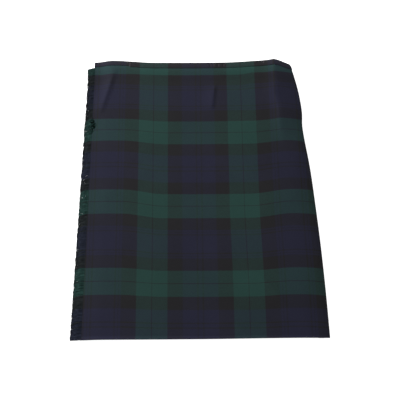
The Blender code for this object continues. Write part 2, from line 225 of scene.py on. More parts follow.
def back_line(up):
    """The pleats' middle line. Each climbs two layers, runs in over its neighbour, folds, comes
    back to its edge and folds again."""
    first, shows, depth = pleat_sizes(up)
    floor, turn = floor_level(up), LAYER / 2
    line = [(left_seam(up) + SEAM / 2, 0)]

    def run(x, layer, steps):
        from_x, from_layer = line[-1]
        for k in range(1, steps + 1):
            climb = smooth(0, steps, k)
            line.append((mix(from_x, x, k / steps), mix(from_layer, layer, climb)))

    def fold(x, layer, way):
        for degrees in range(-90, 91, 30):
            angle = math.radians(degrees)
            line.append((x + way * turn * math.cos(angle), layer - 0.5 * (1 + math.sin(angle))))

    for i in range(PLEATS):
        edge = first + i * shows
        deep = i < PLEATS - 1
        top = 4 if deep else 2
        run(edge - RAMP, 0, 2)
        run(edge, 2, 6)
        if deep:
            run(edge + shows - RAMP, 2, 3)
            run(edge + shows, 4, 6)
        run(edge + depth - turn, top, 3)
        line.pop()
        fold(edge + depth - turn, top, 1)
        if deep:
            run(edge + shows, 3, 3)
            run(edge + shows - RAMP, 1, 6)
        run(edge + turn, 1, 3)
        line.pop()
        fold(edge + turn, 1, -1)
    run(hip_seam(up) - SEAM / 2, 0, 3)
    return [Vector((x, y_at(x, up, BACK_HEM_INSET), floor + layer * LAYER)) for x, layer in line]


def moved_out(line, distances):
    """A line moved sideways in X and Z, each point by its own distance, with mitred corners."""
    moved = []
    for k, point in enumerate(line):
        before = point - line[k - 1] if k > 0 else line[1] - point
        after = line[k + 1] - point if k < len(line) - 1 else before
        normals = [Vector((-step.z, 0, step.x)).normalized() for step in (before, after)]
        middle = normals[0] + normals[1]
        moved.append(point + middle * (2 * distances[k] / max(middle.length_squared, 1)))
    return moved


def lengths_along(line):
    """How far each point is from the first, through the cloth, in X and Z."""
    far = [0]
    for before, after in zip(line, line[1:]):
        far.append(far[-1] + math.hypot(after.x - before.x, after.z - before.z))
    return far


def round_edge(distance):
    """The share of the thickness that an edge has at a distance from its rim."""
    inside = 1 - min(distance / (CLOTH / 2), 1)
    return max(math.sqrt(1 - inside * inside), LEAST_EDGE)


def edge_rows(count):
    """Heights from 0 to 1: even ones, and closer ones that round the hem and the waist edge."""
    rim = [distance / LENGTH for distance in ROUNDING]
    even = [k / count for k in range(1, count)]
    return rim + even + [1 - up for up in reversed(rim)]


def cloth_panel(name, line_at, rows, tartan_at, free_start=False, free_end=False):
    """A closed shell of cloth. line_at gives its middle line at a height, and tartan_at the
    place in the tartan of each of that line's points, as (across, along) in metres."""
    points, places, count = [], [], 0
    for up in rows:
        line = line_at(up)
        count = len(line)
        rim = min(up, 1 - up) * LENGTH
        far = lengths_along(line)
        half = []
        for k in range(count):
            share = round_edge(rim)
            if free_start:
                share = min(share, round_edge(far[k]))
            if free_end:
                share = min(share, round_edge(far[-1] - far[k]))
            half.append(CLOTH / 2 * share)
        place = tartan_at(line, up)
        for side in (1, -1):
            points += [p + TO_FRAME for p in moved_out(line, [side * h for h in half])]
            places += place
    faces = []

    def at(row, side, k):
        return (2 * row + side) * count + k

    for row in range(len(rows) - 1):
        for k in range(count - 1):
            for side in (0, 1):
                corners = (
                    at(row, side, k),
                    at(row, side, k + 1),
                    at(row + 1, side, k + 1),
                    at(row + 1, side, k),
                )
                faces.append(corners if side == 0 else corners[::-1])
        for k, flip in ((0, 1), (count - 1, -1)):
            ends = (at(row, 0, k), at(row + 1, 0, k), at(row + 1, 1, k), at(row, 1, k))
            faces.append(ends[::flip])
    for row, flip in ((0, -1), (len(rows) - 1, 1)):
        for k in range(count - 1):
            rim = (at(row, 0, k), at(row, 0, k + 1), at(row, 1, k + 1), at(row, 1, k))
            faces.append(rim[::flip])
    return cloth_object(name, points, faces, places)


def cloth_object(name, points, faces, places):
    """A mesh object with its faces outwards and its places in the tartan as a map."""
    mesh = bpy.data.meshes.new(name)
    mesh.from_pydata(points, [], faces)
    cloth_map = mesh.uv_layers.new(name="cloth")
    for loop in mesh.loops:
        cloth_map.uv[loop.index].vector = places[loop.vertex_index]
    shell = bmesh.new()
    shell.from_mesh(mesh)
    bmesh.ops.recalc_face_normals(shell, faces=shell.faces)
    shell.to_mesh(mesh)
    shell.free()
    mesh.shade_smooth()
    mesh.set_sharp_from_angle(angle=SHARPEST)
    piece = bpy.data.objects.new(name, mesh)
    bpy.context.collection.objects.link(piece)
    return piece


class Wire:
    """One output of a node. Sums, differences and products of wires add their Math nodes."""

    def __init__(self, tree, socket=None):
        self.tree, self.socket = tree, socket

    def node(self, kind, settings, sockets, output=0):
        """Adds a node with its settings, then the values or wires of its sockets."""
        node = self.tree.nodes.new(kind)
        for name, value in settings.items():
            if name == "stops":
                set_stops(node.color_ramp, value)
            else:
                setattr(node, name, value)
        for name, value in sockets.items():
            if isinstance(value, Wire):
                self.tree.links.new(value.socket, node.inputs[name])
            else:
                node.inputs[name].default_value = value
        return Wire(self.tree, node.outputs[output])

    def math(self, operation, *values):
        sockets = dict(enumerate((self, *values)))
        return self.node("ShaderNodeMath", {"operation": operation}, sockets)

    def axis(self, which):
        return self.node("ShaderNodeSeparateXYZ", {}, {0: self}, which)

    def ranged(self, start, end, low, high):
        """low where this is start, high where it is end, and a straight line between them."""
        return self.node("ShaderNodeMapRange", {}, {0: self, 1: start, 2: end, 3: low, 4: high})

    def mixed(self, a, b):
        """Colour a where this is 0 and b where it is 1."""
        return self.node("ShaderNodeMix", {"data_type": "RGBA"}, {0: self, 6: a, 7: b}, 2)

    def toned(self, tone):
        """This colour times tone, so darker below 1 and paler above it."""
        grey = self.node("ShaderNodeCombineColor", {}, {0: tone, 1: tone, 2: tone})
        whole = {"data_type": "RGBA", "blend_type": "MULTIPLY"}
        return self.node("ShaderNodeMix", whole, {0: 1, 6: self, 7: grey}, 2)

    def to(self, shader, name):
        self.tree.links.new(self.socket, shader.inputs[name])

    def __add__(self, other):
        return self.math("ADD", other)

    def __sub__(self, other):
        return self.math("SUBTRACT", other)

    def __mul__(self, other):
        return self.math("MULTIPLY", other)

    def __rsub__(self, other):
        return self.node("ShaderNodeMath", {"operation": "SUBTRACT"}, {0: other, 1: self})

    __radd__ = __add__
    __rmul__ = __mul__


# The tartan. One full repeat, from the middle of one green stripe to the middle of the next but
# one, with each stripe's dye and width. It is the same across and along the cloth.
SETT = "K1 G32 K33 B31 K3 B8 K3 B31 K33 G32 K2 G32 K33 B4 K3 B4 K3 B48 K3 B4 K3 B4 K33 G32 K1"
SETT_ACROSS = 0.326  # the size of the repeat
SETT_ALONG = 0.328
DYES = {
    "G": (0.0162, 0.0475, 0.0405),
    "K": (0.0148, 0.0143, 0.0160),
    "B": (0.0166, 0.0169, 0.0351),
}
THREAD = 0.53 * MM
TWILL = 4  # threads in one repeat of the twill, half of them over and half under
FACE_CONTRAST = 0.70  # how much the upper thread hides the lower one
FACE_MIDDLE = 0.42  # the share of warp that shows, as the weft is beaten up harder
CLOTH_TONE = 0.80
THREAD_PAINTED_SHADE = 0.16  # painted shade: how much paler the top of each round thread is than where it dips
PATCHES = 0.22  # how uneven the dye is, in broad patches and in flecks of the yarn
FLECKS = 0.30
FLECK_RELIEF = 0.6  # beside the threads' own
WAIST_HIGHLIGHT = 0.45  # painted highlight: how much paler the cloth is at the waist's edge, where the lamp beyond the waist lights it
WAIST_HIGHLIGHT_FROM_Y = 0.264
WAIST_HIGHLIGHT_TO_Y = 0.304
SELVEDGE = 0.30  # how much paler the hem is, where the weft turns back
SELVEDGE_FROM_Y = -0.2955
SELVEDGE_TO_Y = -0.2990


def set_stops(ramp, stripes):
    """Sharp stripes of colour along a ramp, from (start, colour) pairs."""
    ramp.interpolation = "CONSTANT"
    while len(ramp.elements) < len(stripes):
        ramp.elements.new(1)
    for stop, (start, color) in zip(ramp.elements, stripes):
        stop.position, stop.color = start, (*color, 1)


def tartan_stripes():
    """(start, colour) of each stripe of the sett, with starts as shares of the whole repeat."""
    counts = [(stripe[0], int(stripe[1:])) for stripe in SETT.split()]
    whole = sum(count for _, count in counts)
    stripes, done = [], 0
    for dye, count in counts:
        stripes.append((done / whole, DYES[dye]))
        done += count
    return stripes


def wool(name, roughness=0.8):
    """A material for wool, and a wire to build on: matt, with a short soft nap."""
    material = bpy.data.materials.new(name)
    material.use_nodes = True
    shader = material.node_tree.nodes["Principled BSDF"]
    shader.inputs["Roughness"].default_value = roughness
    shader.inputs["Specular IOR Level"].default_value = 0.08
    shader.inputs["Sheen Weight"].default_value = 0.02
    shader.inputs["Sheen Roughness"].default_value = 0.45
    return material, shader, Wire(material.node_tree)


def tartan_cloth(name):
    """The woven tartan: warp threads run along the cloth and weft threads across it, and each
    goes over two and under two, one step on in every row."""
    material, shader, wire = wool(name)
    place = wire.node("ShaderNodeUVMap", {"uv_map": "cloth"}, {})
    across, along = place.axis(0), place.axis(1)
    stripes = {"stops": tartan_stripes()}
    warp = wire.node("ShaderNodeValToRGB", stripes, {0: (across * (1 / SETT_ACROSS)).math("FRACT")})
    weft = wire.node("ShaderNodeValToRGB", stripes, {0: (along * (1 / SETT_ALONG)).math("FRACT")})

    end, pick = across * (1 / THREAD), along * (1 / THREAD)
    lane = (end.math("FLOOR") - pick.math("FLOOR")).math("FLOORED_MODULO", TWILL)
    warp_up = lane.math("LESS_THAN", TWILL / 2)
    face = (warp_up - 0.5) * FACE_CONTRAST + FACE_MIDDLE
    color = face.mixed(weft, warp)

    # Each thread is round, so it is painted darker where it dips between its neighbours, as shade
    # there; the same relief raises the bump.
    warp_round = (end.math("FRACT") * math.pi).math("SINE")
    weft_round = (pick.math("FRACT") * math.pi).math("SINE")
    relief = warp_up * warp_round + (1 - warp_up) * weft_round

    # The dye is never quite even: the cloth is paler along the selvedge, with broad soft patches
    # and short flecks of the yarn. Along the waist it is painted paler, a highlight from the lamp
    # beyond the waist.
    body = wire.node("ShaderNodeTexCoord", {}, {}, "Object")
    length = body.axis(1)
    waist_highlight_and_selvedge = length.ranged(WAIST_HIGHLIGHT_FROM_Y, WAIST_HIGHLIGHT_TO_Y, 0, WAIST_HIGHLIGHT)
    waist_highlight_and_selvedge += length.ranged(SELVEDGE_FROM_Y, SELVEDGE_TO_Y, 0, SELVEDGE)
    patch = wire.node("ShaderNodeTexNoise", {}, {"Vector": body, "Scale": 14, "Detail": 3})
    fleck = wire.node("ShaderNodeTexNoise", {}, {"Vector": body, "Scale": 900, "Detail": 2})
    uneven = (patch - 0.5) * PATCHES + (fleck - 0.5) * FLECKS
    color.toned(CLOTH_TONE + THREAD_PAINTED_SHADE * relief + uneven + waist_highlight_and_selvedge).to(shader, "Base Color")

    bump = {"Height": relief + fleck * FLECK_RELIEF, "Strength": 0.35, "Distance": 0.25 * MM}
    wire.node("ShaderNodeBump", {}, bump).to(shader, "Normal")
    return material


# Where the tartan lies on the body: the middle of a green stripe down the front, left of its
# own middle, and of a green band across it. The stripes lean a little, and the bands lie closer
# together towards the waist.
STRIPE_X = -0.0838
STRIPE_LEAN = 0.0098
BAND_Y = -0.0223
BAND_CURVE = 0.11


def stripe_place(x, y):
    return x - STRIPE_X + STRIPE_LEAN * y


def band_place(y):
    return y - BAND_Y + BAND_CURVE * (y - BAND_Y) ** 2


HEM_TURN = 0.4299  # the front apron's width of cloth at the hem, round to the pleats


def back_tartan(line, up):
    """The tartan goes on from the front apron, so it counts back from the seam at the hip."""
    far = lengths_along(line)
    start = stripe_place(FRINGE_EDGE_HEM_X, 0) + HEM_TURN
    return [
        (start + far[-1] - far[k], band_place((point + TO_FRAME).y))
        for k, point in enumerate(line)
    ]


pleated_back = cloth_panel("pleated_back_cloth", back_line, edge_rows(BACK_ROWS), back_tartan)
pleated_back.data.materials.append(tartan_cloth("pleat_tartan"))
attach(pleated_back, "root")
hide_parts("pleated_back")

# ---------------------------------------------------------------------------------------------
# The under apron. The cloth turns up from the floor at the left fold and lies on the pleats,
# flat and pressed, as far as its free edge inside the hip fold.
# ---------------------------------------------------------------------------------------------
SIDE_LAYERS = 3  # how many layers of pleats lie beneath it at both sides
DEEP_LAYERS = 5  # and between them
CLIMB = 24 * MM  # how wide it takes to rise from one to the other, and to come down again
FALL_CLEAR = 2 * MM
FALL = 16 * MM
UNDER_EDGE_INSET = 10 * MM
UNDER_HEM_INSET = 3 * MM
UNDER_SHARE = 0.4  # the share of the loose air that lies beneath it
LEFT_LOOSE_SPAN = (0.05, 0.40)  # shares of the way across where the air at the left dies away
HIP_LOOSE_SPAN = (0.45, 0.86)  # and where the air at the hip starts and is all there
UNDER_COLUMNS = 110
UNDER_ROWS = 60


def looseness(x, up):
    """Extra air under the front apron: a little at its fringed side, more towards the hip."""
    across = (x - fringe_edge(up)) / (hip_fold(up) - fringe_edge(up))
    left = at_station(up, LOOSE_LEFT) * (1 - smooth(*LEFT_LOOSE_SPAN, across))
    return left + at_station(up, LOOSE_HIP) * smooth(*HIP_LOOSE_SPAN, across)


def under_level(x, up):
    """The under apron's middle: it lies on five layers of pleats, and on three at both sides."""
    first, shows, depth = pleat_sizes(up)
    deep_start, deep_end = first + shows - RAMP, first + (PLEATS - 2) * shows + depth
    more = DEEP_LAYERS - SIDE_LAYERS
    layers = SIDE_LAYERS + more * smooth(deep_start - CLIMB, deep_start, x)
    layers -= more * smooth(deep_end + FALL_CLEAR, deep_end + FALL_CLEAR + FALL, x)
    return floor_level(up) + layers * LAYER + UNDER_SHARE * looseness(x, up)


def near_edge(start, end, count, at_start):
    """Places from start to end: even ones, and closer ones that round the free edge off."""
    even = [mix(start, end, k / count) for k in range(count + 1)]
    if at_start:
        return [start + distance for distance in ROUNDING] + even[1:]
    return even[:-1] + [end - distance for distance in reversed(ROUNDING)]


def under_line(up):
    fold, free = left_fold(up) + CLOTH / 2, hip_fold(up) - UNDER_EDGE_INSET
    low, high = floor_level(up), under_level(fold, min(up, 1))
    radius = (high - low) / 2
    seam = left_seam(up) - SEAM / 2
    line = [Vector((seam, y_at(seam, up, BACK_HEM_INSET), low))]
    for degrees in range(-90, 90, 10):
        turn = math.radians(degrees)
        x = fold + radius * (1 - math.cos(turn))
        inset = mix(BACK_HEM_INSET, UNDER_HEM_INSET, (degrees + 90) / 180)
        line.append(Vector((x, y_at(x, up, inset), low + radius * (1 + math.sin(turn)))))
    for x in near_edge(fold + radius, free, UNDER_COLUMNS, at_start=False):
        line.append(Vector((x, y_at(x, up, UNDER_HEM_INSET), under_level(x, min(up, 1)))))
    return line


def under_tartan(line, up):
    """The tartan goes on from the pleats."""
    far, back = lengths_along(line), lengths_along(back_line(min(up, 1)))[-1]
    start = stripe_place(FRINGE_EDGE_HEM_X, 0) + HEM_TURN + back
    return [(start + far[k], band_place((p + TO_FRAME).y)) for k, p in enumerate(line)]


under_apron = cloth_panel(
    "under_apron_cloth", under_line, edge_rows(UNDER_ROWS), under_tartan, free_end=True
)
under_apron.data.materials.append(tartan_cloth("under_tartan"))
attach(under_apron, "root")
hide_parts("under_apron")

# ---------------------------------------------------------------------------------------------
# The front apron. The end of the cloth, smoothed by hand over the under apron from its fringed
# edge to the hip, where it rolls over to the floor. It keeps a few soft creases.
# ---------------------------------------------------------------------------------------------
ROLL_TUCK = 6 * MM  # how far the cloth comes back in under the hip
ROLL_NOSE = 0.42  # how high up the roll reaches furthest out, as a share
HIP_RIDGE = 3.0 * MM  # near the waist a crease lifts the cloth where the roll starts
RIDGE_REACH = 24 * MM
RIDGE_GROWS_UP = (0.66, 0.80)
CHAMFER = 0.8  # how straight the cloth falls from that crease, where it is round below
FRONT_COLUMNS = 150
FRONT_ROWS = 180

SPRUNG = 0.5  # how much of the step at the fringed side the apron's edge bridges
SPRING_BEFORE = 10 * MM
SPRING_SETTLES_UP = (0.80, 0.93)  # it settles on the step towards the waist
CREST = 1 * MM  # how round a ridge's top is
CREASE_GROWS = (-0.15, 0.25)  # shares of a ridge's length where it comes up and dies away
CREASE_FADES = (0.70, 1.15)
# Ridges, each from one point to another: (x, y) of both ends, height, and how far the side
# towards the fringe and the other side spread.
CREASES = (
    (-0.160, 0.275, -0.182, 0.178, 2.6 * MM, 24 * MM, 10 * MM),
    (0.0260, 0.243, 0.0200, 0.185, 1.9 * MM, 24 * MM, 7 * MM),
    (-0.120, -0.060, -0.040, -0.120, 0.7 * MM, 30 * MM, 24 * MM),
    (0.095, -0.170, 0.140, -0.230, 0.8 * MM, 22 * MM, 18 * MM),
)


def crease_height(x, y):
    """The sum of the soft ridges at a point of the front apron."""
    total = 0
    for x0, y0, x1, y1, height, reach, drop in CREASES:
        run_x, run_y, away_x, away_y = x1 - x0, y1 - y0, x - x0, y - y0
        whole = math.hypot(run_x, run_y)
        share = (away_x * run_x + away_y * run_y) / whole**2
        if not CREASE_GROWS[0] < share < CREASE_FADES[1]:
            continue
        side = (run_x * away_y - run_y * away_x) / whole
        side = side if run_y > 0 else -side
        spread = reach if side > 0 else drop
        ends = smooth(*CREASE_GROWS, share) * (1 - smooth(*CREASE_FADES, share))
        total += height * ends * max(1 - math.hypot(side, CREST) / spread, 0) ** 2
    return total


def spring(x, up):
    """How far the apron, which is stiff, stands off the step at its fringed side."""
    first, shows, _ = pleat_sizes(up)
    step = first + shows - RAMP
    stands = mix(SPRUNG, 1, smooth(fringe_edge(up) - SPRING_BEFORE, step, x))
    off = max(stands - smooth(step - CLIMB, step, x), 0) * 2 * LAYER
    return off * (1 - smooth(*SPRING_SETTLES_UP, up))


def roll_start(up):
    return hip_fold(up) - at_station(up, ROLL_WIDTH)


def creased_hip(up):
    return smooth(*RIDGE_GROWS_UP, up)


def hip_ridge(x, up):
    near = max(1 - max(roll_start(up) - x, 0) / RIDGE_REACH, 0)
    return HIP_RIDGE * creased_hip(up) * near**2


def front_level(x, up):
    loose = (1 - UNDER_SHARE) * looseness(x, up) + spring(x, up) + hip_ridge(x, up)
    rise = floor_level(up) - CLOTH / 2
    return under_level(x, up) + LAYER + rise + loose + crease_height(x, y_at(x, up))


def front_line(up):
    """The front apron's middle line, from its fringed edge to the seam under the hip."""
    edge, roll, outermost = fringe_edge(up), roll_start(up), hip_fold(up) - CLOTH / 2
    top, floor = front_level(roll, min(up, 1)), floor_level(up)
    nose = mix(floor, top, ROLL_NOSE)
    line = []
    for x in near_edge(edge, roll, FRONT_COLUMNS, at_start=True):
        line.append(Vector((x, y_at(x, up), front_level(x, min(up, 1)))))
    for degrees in range(80, -91, -5):
        turn = math.radians(degrees)
        if degrees >= 0:
            lift = mix(math.sin(turn), 1 - math.cos(turn), CHAMFER * creased_hip(up))
            reach, z = outermost - roll, mix(nose, top, lift)
        else:
            reach, z = ROLL_TUCK, mix(nose, floor, -math.sin(turn))
        x = outermost - reach * (1 - math.cos(turn))
        tucked = BACK_HEM_INSET * smooth(80, -90, degrees)
        line.append(Vector((x, y_at(x, up, tucked), z)))
    x = hip_seam(up) + SEAM / 2
    line.append(Vector((x, y_at(x, up, BACK_HEM_INSET), floor)))
    return line


# The cloth was laid a little askew. Its bands sag across the middle, most at SAG_Y and between
# SAG_FLAT on both sides of SAG_X. They turn up at the hip's top. The stripe by the hip keeps
# straight near the hem and lies further in above it.
BAND_SAG = 10.3 * MM
SAG_X = 0.012
SAG_FLAT = 0.075
SAG_ENDS = 0.150
SAG_Y = 0
SAG_REACH = 0.22
HIP_LIFT = 5 * MM
HIP_LIFT_X = (0.07, 0.10)
HIP_LIFT_Y = (0.19, 0.27)
WANDER = 3.4 * MM
WANDER_HEM = 0.2 * MM
WANDER_X = (0, 0.07)
WANDER_Y = (-0.22, -0.02)


def front_tartan(line, up):
    """Across the flat part the stripes stay where they were smoothed to. Round the hip they
    follow the cloth."""
    places = []
    for k, point in enumerate(line):
        x, y = (point + TO_FRAME).xy
        sag = BAND_SAG * math.exp(-(((y - SAG_Y) / SAG_REACH) ** 2))
        sag *= 1 - smooth(SAG_FLAT, SAG_ENDS, abs(x - SAG_X))
        sag -= HIP_LIFT * smooth(*HIP_LIFT_X, x) * smooth(*HIP_LIFT_Y, y)
        wander = mix(WANDER_HEM, WANDER, smooth(*WANDER_Y, y)) * smooth(*WANDER_X, x)
        if k <= FRONT_COLUMNS:
            across = stripe_place(x, y) + wander
        else:
            step = point - line[k - 1]
            across = places[-1][0] + math.hypot(step.x, step.z)
        places.append((across, band_place(y) + sag))
    return places


front_apron = cloth_panel(
    "front_apron_cloth", front_line, edge_rows(FRONT_ROWS), front_tartan, free_start=True
)
front_apron.data.materials.append(tartan_cloth("apron_tartan"))
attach(front_apron, "root")
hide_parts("front_apron")

# ---------------------------------------------------------------------------------------------
# The waistband. A strip of the same tartan, cut along its black band, bound over the top edge
# of each panel in turn: the front stretch, the under one and the one beneath the pleats.
# ---------------------------------------------------------------------------------------------
BAND_ROWS = 10
BAND_EDGE = 0.45  # thickness at the edges, as a share of the whole
BAND_CROWN = 0.70  # and how much fuller the middle is
BAND_FULLNESS = 0.7  # how soon it gets fuller: below 1, close to the edges
BAND_CORNER = (0.8, 0.6)  # the turned edge's cut corner: how far up and how far out
BAND_CUT = SETT_ALONG * 0.118  # the middle of the black band that the strip is cut from
PIECED_X = -0.1303  # where the front stretch is pieced, and how much narrower its left part is
PIECED_STEP = 2.2 * MM
BACK_BAND_COLUMNS = 160
LIP_CLEAR = 1.4 * MM  # between the back stretch's lip and the under apron


def band_thickness(share):
    """The band's thickness at a share of its height."""
    return BAND * (BAND_EDGE + BAND_CROWN * math.sin(math.pi * share) ** BAND_FULLNESS)


def band_strip(name, line_at, side, tartan_at, pieced_x=-1):
    """A band on the outside of a panel, turned over its top edge. side is 1 or -1, the side of
    the panel's line that the band lies on. Left of pieced_x it is narrower."""
    inner = CLOTH / 2 + SEAM
    edge_up = 1 + SEAM / LENGTH
    top_up = edge_up + BAND / LENGTH
    profile = [(BAND_UP, inner)]
    for k in range(BAND_ROWS + 1):
        share = k / BAND_ROWS
        profile.append((mix(BAND_UP, edge_up, share), inner + band_thickness(share)))
    profile += [
        (mix(edge_up, top_up, BAND_CORNER[0]), inner * BAND_CORNER[1]),
        (top_up, 0),
        (top_up, -CLOTH / 2),
        (edge_up, -CLOTH / 2),
        (edge_up, inner),
    ]
    points, places = [], []
    for up, distance in profile:
        line = line_at(up)
        height = (up - BAND_UP) * LENGTH
        for point in moved_out(line, [side * distance] * len(line)):
            point += TO_FRAME
            if point.x < pieced_x:
                point.y += PIECED_STEP * max(1 - height / BAND_HEIGHT, 0)
            points.append(point)
        across = [place[0] for place in tartan_at(line, up)]
        places += [(s, BAND_CUT + height - BAND_HEIGHT / 2) for s in across]
    count, rows = len(points) // len(profile), len(profile)
    faces = []
    for row in range(rows):
        after = (row + 1) % rows
        for k in range(count - 1):
            a, b = row * count + k, after * count + k
            faces.append((a, a + 1, b + 1, b))
    faces.append([row * count for row in range(rows)])
    faces.append([row * count + count - 1 for row in range(rows)])
    return cloth_object(name, points, faces, places)


def back_band():
    """The band beneath the pleats: flat on the floor, and turned up over the pleats' ends."""
    edge_up = 1 + SEAM / LENGTH
    top_up = edge_up + BAND / LENGTH
    points, places = [], []
    for k in range(BACK_BAND_COLUMNS + 1):
        share = k / BACK_BAND_COLUMNS
        lip = under_level(mix(left_seam(1), hip_seam(1), share), 1) - CLOTH / 2 - LIP_CLEAR
        profile = (
            (BAND_UP, 0),
            (BAND_UP, BAND),
            (edge_up, BAND),
            (edge_up, lip),
            (top_up, lip - BAND / 2),
            (top_up, BAND / 2),
            (top_up - BAND / 2 / LENGTH, 0),
        )
        for up, z in profile:
            level = min(up, 1)
            x = mix(left_seam(level) + SEAM / 2, hip_seam(level) - SEAM / 2, share)
            points.append(Vector((x, y_at(x, up), z)) + TO_FRAME)
            places.append((x, BAND_CUT + (up - BAND_UP) * LENGTH - BAND_HEIGHT / 2))
    faces, rows = [], len(profile)
    for k in range(BACK_BAND_COLUMNS):
        for j in range(rows):
            a, b = k * rows + j, k * rows + (j + 1) % rows
            faces.append((a, b, b + rows, a + rows))
    faces.append(list(range(rows)))
    faces.append([BACK_BAND_COLUMNS * rows + j for j in range(rows)])
    return cloth_object("back_band_cloth", points, faces, places)


front_band = band_strip("front_band_cloth", front_line, 1, front_tartan, PIECED_X)
under_band = band_strip("under_band_cloth", under_line, 1, under_tartan)
back_band_piece = back_band()
band_tartan = tartan_cloth("band_tartan")
for piece, node in (
    (front_band, "front_waistband"),
    (under_band, "under_waistband"),
    (back_band_piece, "back_waistband"),
):
    piece.data.materials.append(band_tartan)
    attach(piece, "root")
    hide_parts(node)

# ---------------------------------------------------------------------------------------------
# Sewing on the front waistband. Twisted thread: a pale stitch where the band was pieced, a row
# of bar tacks across it near the middle, and two knots by the hip. All are sewn through the band.
# ---------------------------------------------------------------------------------------------
PALE = (0.095, 0.080, 0.090)
ROSE = (0.062, 0.048, 0.056)
DARK = (0.013, 0.011, 0.014)
# (x, how far it leans, start and end as shares of the band's height, radius, colour)
TACKS = (
    (PIECED_X, 0.3 * MM, 0.04, 0.92, 0.45 * MM, PALE),
    (0.0165, 0.2 * MM, 0.12, 0.80, 0.40 * MM, DARK),
    (0.0200, -0.2 * MM, 0.20, 0.80, 0.45 * MM, ROSE),
    (0.0258, 0.3 * MM, 0.15, 0.85, 0.45 * MM, ROSE),
    (0.0300, 0.2 * MM, 0.10, 0.85, 0.40 * MM, DARK),
    (0.0345, -0.3 * MM, 0.20, 0.75, 0.45 * MM, ROSE),
    (0.0400, 0.2 * MM, 0.08, 0.90, 0.50 * MM, DARK),
    (0.0440, 0.3 * MM, 0.20, 0.75, 0.45 * MM, ROSE),
    (0.1037, 0.5 * MM, 0.55, 0.85, 0.75 * MM, DARK),
    (0.1176, 0.4 * MM, 0.50, 0.75, 0.70 * MM, PALE),
)
TACK_STEPS = 10
TACK_RISE = 0.9  # how far a stitch stands up, and how deep it sits, in its own radius
TACK_SUNK = 0.6
TWIST = (1.3, 0.6)  # painted light and shade of the thread's twist: paler where its bump stands up, darker in the hollows


def band_surface(x, share):
    """A point on the front band's outside, at a share of its height."""
    up = mix(BAND_UP, 1, share)
    level = front_level(x - TO_FRAME.x, up) + CLOTH / 2 + SEAM + band_thickness(share)
    return Vector((x, y_at(x - TO_FRAME.x, up) + TO_FRAME.y, level))


def sewing_thread(name, color):
    """Thread of one dye, with the painted light and shade of its twist."""
    material, shader, wire = wool(name, roughness=0.7)
    body = wire.node("ShaderNodeTexCoord", {}, {}, "Object")
    twist = wire.node("ShaderNodeTexNoise", {}, {"Vector": body, "Scale": 1800, "Detail": 1})
    light, dark = [(*(part * share for part in color), 1) for share in TWIST]
    twist.mixed(dark, light).to(shader, "Base Color")
    bump = {"Height": twist, "Strength": 0.5, "Distance": 0.1 * MM}
    wire.node("ShaderNodeBump", {}, bump).to(shader, "Normal")
    return material


def tack(x, lean, start, end, radius, thread):
    """One stitch: it comes up out of the band and goes down into it again."""
    spine = bpy.data.curves.new("tack", "CURVE")
    spine.dimensions = "3D"
    spine.bevel_depth = radius
    spine.bevel_resolution = 2
    spine.use_fill_caps = True
    run = spine.splines.new("POLY")
    run.points.add(TACK_STEPS)
    for k in range(TACK_STEPS + 1):
        along = k / TACK_STEPS
        place = band_surface(x + lean * (along - 0.5), mix(start, end, along))
        place.z += radius * (TACK_RISE * math.sin(math.pi * along) - TACK_SUNK)
        run.points[k].co = (*place, 1)
    spine.materials.append(thread)
    stitch = bpy.data.objects.new("tack", spine)
    bpy.context.collection.objects.link(stitch)
    return stitch


threads = {
    PALE: sewing_thread("pale_thread", PALE),
    ROSE: sewing_thread("rose_thread", ROSE),
    DARK: sewing_thread("dark_thread", DARK),
}
bpy.ops.object.select_all(action="DESELECT")
for x, lean, start, end, radius, color in TACKS:
    stitches = tack(x, lean, start, end, radius, threads[color])
    stitches.select_set(True)
bpy.context.view_layer.objects.active = stitches
bpy.ops.object.convert(target="MESH")
bpy.ops.object.join()
stitches = bpy.context.object
stitches.name = "band_stitches"
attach(stitches, "root")

# ---------------------------------------------------------------------------------------------
# The fringe. The warp is drawn out of about the last 15 mm of the apron, so the weft yarns hang
# free, each in the colour of its own band. They fall over the fold beneath them to the floor.
# ---------------------------------------------------------------------------------------------
YARNS = 3400
YARN_STEPS = 6
YARN_SIDES = 4
YARN = 0.42 * MM  # radius at the root
YARN_TAPER = 0.35  # how much thinner the tip is
YARN_LAP = 1.0 * MM  # how far it still lies on the cloth
FRINGE_TOP_UP = BAND_UP - SEAM / LENGTH

YARN_LENGTH = 18.8 * MM  # at the hem
YARN_LENGTH_WAIST = 12.6 * MM
TOP_YARNS = 1.12  # how much longer the ones by the waistband are
TOP_YARNS_UP = (0.93, 0.965)
CLUMPED = 0.10  # how much the length comes and goes along the fringe, as a share
CLUMPS = 60  # and how often
UNEVEN = (-0.12, 0.06)  # how much it differs from yarn to yarn
HEM_UNEVEN = 0.4  # the share of both that is left at the hem

SWAY = 0.7 * MM  # how far the tips lean along the fringe in groups
SWAYS = 45
STRAY = 0.5 * MM  # and each on its own
HEM_SWAY = 4.2 * MM  # how far the last yarns are brushed up from the hem
HEM_SWAY_UP = (0.05, 0)
WAIST_SWAY = 5.0 * MM  # and the first ones up towards the waist
WAIST_SWAY_UP = (0.93, 0.975)
KINK = 0.25 * MM  # the yarn keeps a little of the weave's wave
KINKS = 9
LEAN_BEND = 1.4  # above 1, a yarn leans and falls more towards its tip
FALL_BEND = 1.5
ARCH = 2.0 * MM  # how high a yarn may stand up in its middle
TIP_LEVEL = 0.5 * MM  # the least height of a tip above the floor
TIP_SPREAD = 1.2 * MM

TANGLE_Y = 0.150  # the middle of a tangle, where the apron has ravelled further in
TANGLE_REACH = 0.020  # along the fringe, on both sides of that
TANGLE_LAP = 7.5 * MM  # how much further in
TANGLE_LONGER = 0.8 * MM  # how much further out its tips reach
TANGLE_SWAY = 3.0 * MM
TANGLE_ARCH = 1.5 * MM
# How far outside the apron's edge the tangle's painted shade starts, and where it is at its
# darkest.
TANGLE_SHADE = (6 * MM, 1 * MM)


